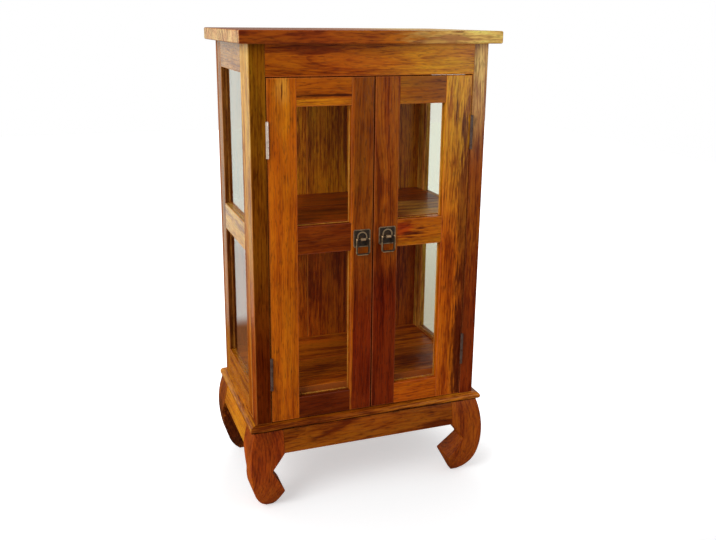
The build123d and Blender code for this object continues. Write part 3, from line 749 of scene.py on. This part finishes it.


# Doors: each a frame of two stiles and three rails, tenoned together and glazed like the sides. Every
# piece is cut from its own board, so that each has its own tone and figure.
# The right hinge stile's paler golden top and the meeting stiles' paler tops above their darker feet are partly a
# painted sheen.
door_tones = {
    "left_door_hinge_stile": ("z", (172, 82, 2), {
        "pith": (0.10, 0.05), "lean": 0.03, "seed": 31.0, "contrast": 0.8,
        "marks": (
            (0.30, 0.0, 0.08, 0.020, (184, 104, 6)), (0.334, 0.001, 0.032, 0.014, (196, 122, 34)),
            (0.328, 0.001, 0.020, 0.0010, (118, 58, 10)),
        ),
    }),
    "left_door_meeting_stile": ("z", (129, 59, 3), {
        "pith": (0.04, 0.03), "seed": 32.7, "drift": (0.14, -0.20, (111, 31, 1)),
        "marks": ((0.0, -0.0215, 0.45, 0.0045, (172, 84, 4)),),
    }),
    "left_door_top_rail": ("x", (153, 69, 1), {
        "pith": (0.03, 0.04), "seed": 33.3,
        "marks": ((0.0, -0.0215, 0.20, 0.008, (194, 112, 8)), (0.01, -0.008, 0.09, 0.0028, (78, 28, 2))),
    }),
    "left_door_middle_rail": ("x", (113, 41, 1), {"pith": (0.03, 0.04), "seed": 34.9}),
    "left_door_bottom_rail": ("x", (93, 29, 1), {"pith": (0.03, 0.04), "seed": 35.5}),
    "right_door_meeting_stile": ("z", (142, 65, 4), {
        "pith": (-0.04, 0.03), "seed": 36.8, "contrast": 1.3, "drift": (0.06, -0.12, (106, 29, 1)),
    }),
    "right_door_hinge_stile": ("z", (176, 79, 3), {
        "pith": (0.03, 0.04), "seed": 37.4, "contrast": 1.2, "drift": (-0.05, 0.30, (202, 134, 28)),
        "marks": (
            (0.05, 0.025, 0.24, 0.020, (130, 62, 6)), (-0.24, 0.025, 0.26, 0.022, (84, 26, 2)),
            (0.245, 0.017, 0.034, 0.008, (132, 74, 20)), (0.29, -0.004, 0.050, 0.0018, (96, 46, 6)),
        ),
    }),
    "right_door_top_rail": ("x", (153, 81, 6), {"pith": (0.03, 0.04), "seed": 38.1, "contrast": 0.7}),
    "right_door_middle_rail": ("x", (168, 84, 4), {
        "pith": (0.02, 0.03), "lean": 0.06, "seed": 39.6,
        "marks": (
            (-0.040, 0.006, 0.026, 0.018, (160, 58, 4)), (-0.014, -0.004, 0.028, 0.0042, (80, 24, 3)),
            (0.002, 0.006, 0.013, 0.0018, (96, 34, 4)), (-0.020, -0.012, 0.016, 0.0022, (100, 34, 4)),
        ),
    }),
    "right_door_bottom_rail": ("x", (165, 72, 1), {"pith": (0.03, 0.04), "seed": 40.2}),
}
for node, (along, tone, figure) in door_tones.items():
    wooden(node, along, "y", tone, **figure)


# Hinges: plated steel butts with a loose pin, let into the posts and the door stiles and held by three
# slotted screws in each leaf. The plating has gone dull, with fine rubbing marks and a little tarnish;
# round the upper left hinge the tarnish is thinned as a painted highlight.
def aged_metal(name, colour, tarnish, rough, fine, clean=0.52, metal=1.0, highlight_near=None, polish_and_highlight=None):
    """Metal with clouded tarnish, more of it the lower clean is.

    metal is below 1 under a film of old lacquer. Given a place and a reach, the tarnish is thinned near
    that place, a painted highlight. Given a node, a front and a colour, the node is painted bright along
    its arrises and where it stands proud of that front: partly rubbed bare, partly a painted highlight.
    """
    spots_finer = 6.0
    by_cloud, by_spots, tarnish_edge = 0.7, 0.3, 0.14
    highlight_core, highlight_tarnish = 0.8, 0.5
    least_dulled, more_dulled = 0.93, 0.07
    stands_proud, least_bare_and_highlit, more_bare_and_highlit = (0.0006, 0.0014), 0.35, 0.8
    dull_tarnish, dull_spots = 0.22, 0.12
    tarnish_over_metal = 0.6
    scratch_strength, scratch_depth = 0.25, 0.0002
    material, shader, place = start_finish(name)
    cloud = place.noise(fine, 4.0, 0.6)
    spots = place.noise(fine * spots_finer, 3.0, 0.6)
    share = (cloud * by_cloud + spots * by_spots).rising(clean - tarnish_edge, clean + tarnish_edge)
    # Near the given place the tarnish is thinned: a painted highlight.
    if highlight_near:
        middle, reach = highlight_near
        outside_highlight = (place - middle).length().rising(reach * highlight_core, reach)
        highlight_share = share * highlight_tarnish * (1.0 - outside_highlight)
        share = highlight_share + (least_dulled + share * more_dulled) * outside_highlight
    body = share.between(stain(*colour) + [1.0], stain(*tarnish) + [1.0])
    # The node is painted bright along its arrises and raised parts: partly rubbed bare, partly a painted
    # highlight.
    if polish_and_highlight:
        node, front, bright = polish_and_highlight
        bare = worn_and_highlit_arrises(place, *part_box(node), from_edge=0.0008, to_edge=0.0024)
        proud = (front - place.parts()[1]).rising(*stands_proud)
        bare = bare.larger(proud) * (least_bare_and_highlit + spots * more_bare_and_highlit)
        body = body.toward(stain(*bright) + [1.0], bare)
        share = share * (1.0 - bare)
    body.feeds(shader, "Base Color")
    (rough + share * dull_tarnish + (spots - 0.5) * dull_spots).feeds(shader, "Roughness")
    spots.bump(scratch_strength, scratch_depth).feeds(shader, "Normal")
    (metal - share * metal * tarnish_over_metal).feeds(shader, "Metallic")
    return material


hinge_from_side, upper_hinge_height, highlight_reach = 0.032, 0.80, 0.12
upper_left_hinge = (-carcass_half + hinge_from_side, carcass_front, upper_hinge_height)
hinge_steel = aged_metal(
    "hinge_steel_finish", (250, 230, 212), (62, 30, 14), 0.28, 120.0, clean=0.56, metal=0.55,
    highlight_near=(upper_left_hinge, highlight_reach),
)
for node in ("post_hinge_leaves", "hinge_pins", "left_door_hinge_leaves", "right_door_hinge_leaves"):
    dressed(node, hinge_steel)


def screw_shape(material):
    """Three slotted countersunk heads in a row on each leaf, every slot left at its own turn."""
    geometry, number = "NodeSocketGeometry", "NodeSocketFloat"
    tree, size = start_shape(
        "hinge_screws",
        {
            "Leaves": geometry, "Head": number, "Proud": number, "Slot": number, "Pitch": number,
            "Facing": number,
        },
    )
    screws_in_leaf = 3
    proud, pitch = size["Proud"], size["Pitch"]
    round_head = {"Vertices": 24, "Radius": size["Head"], "Depth": proud * 2.0}
    head = proud.add("GeometryNodeMeshCylinder", {}, round_head)
    groove = head.add("GeometryNodeMeshCube", {}, {"Size": vector(size["Slot"], size["Head"] * 3.0, proud)})
    groove = moved(groove, Translation=vector(z=proud * 0.9))
    less = {"Mesh 1": head, "Mesh 2": groove}
    cut = head.add("GeometryNodeMeshBoolean", {"operation": "DIFFERENCE"}, less)
    row = head.add("GeometryNodeMeshLine", {}, {"Count": screws_in_leaf, "Offset": vector(z=pitch)})
    row = moved(row, Translation=vector(z=pitch * -1.0))
    rows = row.add("GeometryNodeInstanceOnPoints", {}, {"Points": size["Leaves"], "Instance": row})
    rows = rows.add("GeometryNodeRealizeInstances", {}, {0: rows})
    side = rows.add("GeometryNodeInputPosition", {}, {}).parts()[0].worked("SIGN")
    toward = vector(y=side * size["Facing"] * (math.pi / 2))
    any_turn = {2: 0.0, 3: math.pi, "Seed": 7}
    turn = side.add("FunctionNodeRandomValue", {"data_type": "FLOAT"}, any_turn, output=1)
    spun = cut.add("GeometryNodeInstanceOnPoints", {}, {"Points": rows, "Instance": cut, "Rotation": toward})
    in_place = {"Instances": spun, "Rotation": vector(z=turn), "Local Space": True}
    end_shape(spun.add("GeometryNodeRotateInstances", {}, in_place), material)
    return tree


hinge_screws = screw_shape(hinge_steel)
hinge_half_length = 0.0345
screws_behind_front = 0.0100
screws_from_middle = {"carcass": 0.2180, "left_door": 0.2165, "right_door": 0.2165}
screw_sizes = {"Head": 0.0031, "Proud": 0.0002, "Slot": 0.0008, "Pitch": 0.0235}
for body, node, sides in (
    ("carcass", "post_hinge_leaves", (-1.0, 1.0)),
    ("left_door", "left_door_hinge_leaves", (-1.0,)),
    ("right_door", "right_door_hinge_leaves", (1.0,)),
):
    low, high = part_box(node)
    heights = (low[2] + hinge_half_length, high[2] - hinge_half_length)
    across, back = screws_from_middle[body], carcass_front + screws_behind_front
    places = [(side * across, back, height) for side in sides for height in heights]
    screw_sizes["Facing"] = -1.0 if body == "carcass" else 1.0
    screws = put_in_scene(body + "_hinge_screws", shaped(hinge_screws, screw_sizes, places))
    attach(screws, body)


# Catches: a magnet in a brown moulded case under the shelf, behind each meeting stile, and a zinc-plated
# strike on the back of the door that it holds.
strike_steel = aged_metal("strike_steel_finish", (170, 170, 168), (120, 118, 112), 0.30, 60.0)
for node in ("left_catch_strike", "right_catch_strike"):
    dressed(node, strike_steel)


def moulded_case():
    """Brown moulded plastic with a fine pebbled skin."""
    pebble_depth = 0.0002
    material, shader, place = start_finish("catch_case_finish")
    grain = place.noise(900.0, 2.0)
    cloud = place.noise(40.0, 2.0)
    cloud.between(stain(84, 52, 30) + [1.0], stain(104, 68, 42) + [1.0]).feeds(shader, "Base Color")
    (0.45 + grain * 0.15).feeds(shader, "Roughness")
    grain.bump(0.3, pebble_depth).feeds(shader, "Normal")
    return material


dressed("catch_magnets", moulded_case())


# Pulls: a cast brass backplate on each meeting stile, with a bail that hangs from its barrel. The brass
# has a dark antique finish, painted bright along its edges and on its raised parts: partly rubbed bare
# where fingers touch it, partly a painted highlight.
def pull_brass(node, front, bright):
    """Dark antique brass, painted bright along a node's arrises and where it stands proud of this front:
    partly rubbed bare, partly a painted highlight.
    """
    return aged_metal(
        node + "_brass", (100, 74, 46), (42, 28, 16), 0.28, 300.0, clean=0.42, metal=0.7,
        polish_and_highlight=(node, front, bright),
    )


plate_thickness = 0.0016
plate_rounding = 0.00025
for node in ("left_pull_plate", "right_pull_plate"):
    brass = pull_brass(node, carcass_front - plate_thickness, (212, 178, 136))
    stand_in_for(node, rubbed(node, plate_rounding), brass)


def rounded(curve, steps, radius):
    """A curve with its corners rounded."""
    bend = {"Curve": curve, "Count": steps, "Radius": radius}
    return curve.add("GeometryNodeFilletCurve", {"mode": "POLY"}, bend)


def bail_shape(material):
    """A soft-edged bar bent round to a bail, with a ball at each shoulder and an arm turned in from it."""
    number, place = "NodeSocketFloat", "NodeSocketVector"
    tree, size = start_shape(
        "bail",
        {
            "Half": number, "Drop": number, "Bar width": number, "Bar depth": number, "Bend": number,
            "Ball": number, "Arm": number, "Arm gap": number, "Pin": place,
        },
    )
    half, bar_depth = size["Half"], size["Bar depth"]
    bend_steps, edge_steps = 7, 4
    edge_share, ball_flatness = 0.34, 0.79
    index = half.add("GeometryNodeInputIndex", {}, {})
    from_middle = index - 1.5
    side = from_middle.worked("SIGN")
    is_low = from_middle.size().combined("LESS_THAN", 1.0)
    spot = vector(x=side * half, z=is_low * size["Drop"] * -1.0)
    line = index.add("GeometryNodeMeshLine", {}, {"Count": 4})
    line = line.add("GeometryNodeSetPosition", {}, {"Geometry": line, "Position": spot})
    path = rounded(line.add("GeometryNodeMeshToCurve", {}, {0: line}), bend_steps, size["Bend"])
    bar_sizes = {"Width": size["Bar width"], "Height": bar_depth}
    bar = path.add("GeometryNodeCurvePrimitiveQuadrilateral", {}, bar_sizes)
    bar = rounded(bar, edge_steps, bar_depth * edge_share)
    hoop = path.add("GeometryNodeCurveToMesh", {}, {"Curve": path, "Profile Curve": bar, "Fill Caps": True})
    ball = index.add("GeometryNodeMeshUVSphere", {}, {"Segments": 24, "Rings": 14, "Radius": size["Ball"]})
    ball = moved(ball, Scale=(ball_flatness, 1.0, 1.0))
    arm_length = half - size["Arm gap"] * 0.5
    arm_sizes = {"Vertices": 24, "Radius": size["Arm"], "Depth": arm_length}
    arm = index.add("GeometryNodeMeshCylinder", {}, arm_sizes)
    arm = moved(arm, Rotation=(0.0, math.pi / 2, 0.0), Translation=vector(x=arm_length * -0.5))
    shoulder = joined(ball, arm)
    right = moved(shoulder, Translation=vector(x=half))
    left = moved(shoulder, Translation=vector(x=half * -1.0), Rotation=(0.0, 0.0, math.pi))
    hung = moved(joined(hoop, right, left), Translation=size["Pin"])
    smooth = hung.add("GeometryNodeSetShadeSmooth", {}, {"Geometry": hung, "Shade Smooth": True})
    end_shape(smooth, material)
    return tree


bar_width, bar_depth = 0.0042, 0.0032
bail_corner = math.radians(50.0)
for side in ("left", "right"):
    node = side + "_bail_handle"
    low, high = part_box(node)
    pin = next(joint["pos_m"] for joint in frame["joints"] if joint["name"] == side + "_bail_swing")
    brass = pull_brass(node, pin[1] - bar_depth / 2, (240, 200, 148))
    bail_sizes = {
        "Half": 0.0134, "Drop": pin[2] - low[2] - bar_width / 2, "Bar width": bar_width,
        "Bar depth": bar_depth, "Bend": 0.0045, "Ball": 0.0029, "Arm": 0.0015, "Arm gap": 0.0012, "Pin": pin,
    }
    mesh = shaped(bail_shape(brass), bail_sizes)
    mesh.set_sharp_from_angle(angle=bail_corner)
    stand_in_for(node, mesh, brass)


# Studio floor: a plain sheet of matt white under and behind the cabinet. What is seen of it through a
# pane, or mirrored in one, has tones of its own.
def floor_paint():
    """Matt white that is a little grey under the cabinet and white all round it."""
    under_middle = (-0.03, -0.14, 0.0)
    under_white, more_around, shadow_reach = 0.42, 0.64, (0.27, 0.56)
    behind_reach, far_back = (0.92, 1.06), (1.7, 2.5)
    near_mirrored, far_mirrored = (0.93, 0.87, 0.81, 1.0), (1.14, 1.20, 1.08, 1.0)
    near_through, far_through, through_reach = (0.62, 0.54, 0.42, 1.0), (1.05, 1.00, 0.87, 1.0), (1.1, 3.6)
    bare, through_base = (0.84, 0.86, 0.87, 1.0), (0.16, 0.16, 0.16, 1.0)
    mirrored_base = (0.40, 0.15, 0.05, 1.0)

    material, shader, place = start_finish("studio_floor_paint")
    shader.inputs["Roughness"].default_value = 0.9
    shader.inputs["Specular IOR Level"].default_value = 0.1
    ray = known_rays(place.tree)
    distance = (place - under_middle).length()
    toward_back = place.parts()[1]
    mirrored = ray["Glossy Depth"].smaller(1.0) * (1.0 - ray["Is Diffuse Ray"])
    through_glass = ray["Is Transmission Ray"] * (1.0 - mirrored)
    open_white = ray["Is Camera Ray"] * (under_white + distance.rising(*shadow_reach) * more_around)
    behind = toward_back.rising(*behind_reach)
    mirrored_white = toward_back.rising(*far_back).between(near_mirrored, far_mirrored)
    glass_colour = distance.rising(*through_reach).between(near_through, far_through)
    light = glass_colour * through_glass + mirrored_white * (mirrored * behind)
    light = light + open_white * (1.0, 1.0, 1.0)
    glow = light.add("ShaderNodeEmission", {}, {"Color": light})
    matt = through_glass.between(bare, through_base).toward(mirrored_base, mirrored)
    (matt * (1.0 - mirrored * behind)).feeds(shader, "Base Color")
    both = glow.add("ShaderNodeAddShader", {}, {0: Finish(place.tree, shader.outputs[0]), 1: glow})
    both.feeds(place.tree.nodes["Material Output"], "Surface")
    material.cycles.emission_sampling = "NONE"
    return material


floor_sides, floor_front, floor_rear = 4.0, -0.55, 6.0
corners = [
    (-floor_sides, floor_front, 0.0), (floor_sides, floor_front, 0.0), (floor_sides, floor_rear, 0.0),
    (-floor_sides, floor_rear, 0.0),
]
floor_mesh = bpy.data.meshes.new("studio_floor")
floor_mesh.from_pydata(corners, [], [(0, 1, 2, 3)])
floor_mesh.materials.append(floor_paint())
put_in_scene("studio_floor", floor_mesh)


# Studio background: white for the camera, and about half as bright where it lights the wood. A mirrored
# ray meets it only on the side behind the cabinet, and a ray through glass there or where it went straight.
behind_starts, behind_ends, horizon = -0.30, 0.30, (-0.1, 0.1)
around, least_through = 0.55, 0.02
least_mirrored, more_mirrored = 0.01, 1.07
below, above, beyond = (1.09, 1.17, 1.07, 1.0), (0.94, 0.84, 0.70, 1.0), (1.14, 1.06, 0.97)
world = bpy.data.worlds.new("studio_world")
world.use_nodes = True
world.cycles.sampling_method = "NONE"
bpy.context.scene.world = world
sky = world.node_tree
ray = known_rays(sky)
direction = Finish(sky, sky.nodes.new("ShaderNodeTexCoord").outputs["Generated"])
toward_back = direction.parts()[1].rising(behind_starts, behind_ends)
sent_through = ray["Is Transmission Ray"]
seen_white = ray["Is Camera Ray"].larger(ray["Is Diffuse Ray"] * around)
sent_back = ray["Is Glossy Ray"] * (1.0 - sent_through) * (least_mirrored + toward_back * more_mirrored)
mirror_colour = direction.parts()[2].rising(*horizon).between(below, above)
straight = 1.0 - (ray["Ray Depth"] - ray["Transmission Depth"]).rising(1.0, 2.0)
through = sent_through * (least_through + toward_back.larger(straight) * (1.0 - least_through))
shown = seen_white * (1.0 - sent_through) * (1.0, 1.0, 1.0) + mirror_colour * sent_back + through * beyond
shown.feeds(sky.nodes["Background"], "Color")


# Studio lamps: one large soft lamp at the front left, and a smaller one at the front right whose light
# lies on the lacquer as a soft sheen. The panes are kept out of the smaller one's light.
def soft_lamp(name, place, aim, size, power):
    """A square soft lamp turned towards a point of the cabinet."""
    data = bpy.data.lights.new(name, "AREA")
    data.size = size
    data.energy = power
    lamp = put_in_scene(name, data)
    lamp.location = place
    lamp.rotation_euler = (Vector(aim) - Vector(place)).to_track_quat("-Z", "Y").to_euler()
    return lamp


soft_lamp("large_lamp", place=(-2.5, -1.7, 2.1), aim=(0.0, 0.0, 0.5), size=1.8, power=66.0)
sheen_lamp = soft_lamp(
    "sheen_lamp", place=(1.52, -1.85, 0.98), aim=(0.24, -0.16, 0.90), size=0.85, power=15.0
)
sheen_lamp.visible_diffuse = False
unlit_panes = bpy.data.collections.new("panes_without_sheen")
for node in pane_nodes:
    unlit_panes.objects.link(frame["nodes"][node])
for member in unlit_panes.collection_objects:
    member.light_linking.link_state = "EXCLUDE"
sheen_lamp.light_linking.receiver_collection = unlit_panes
bpy.context.scene.view_settings.view_transform = "Standard"
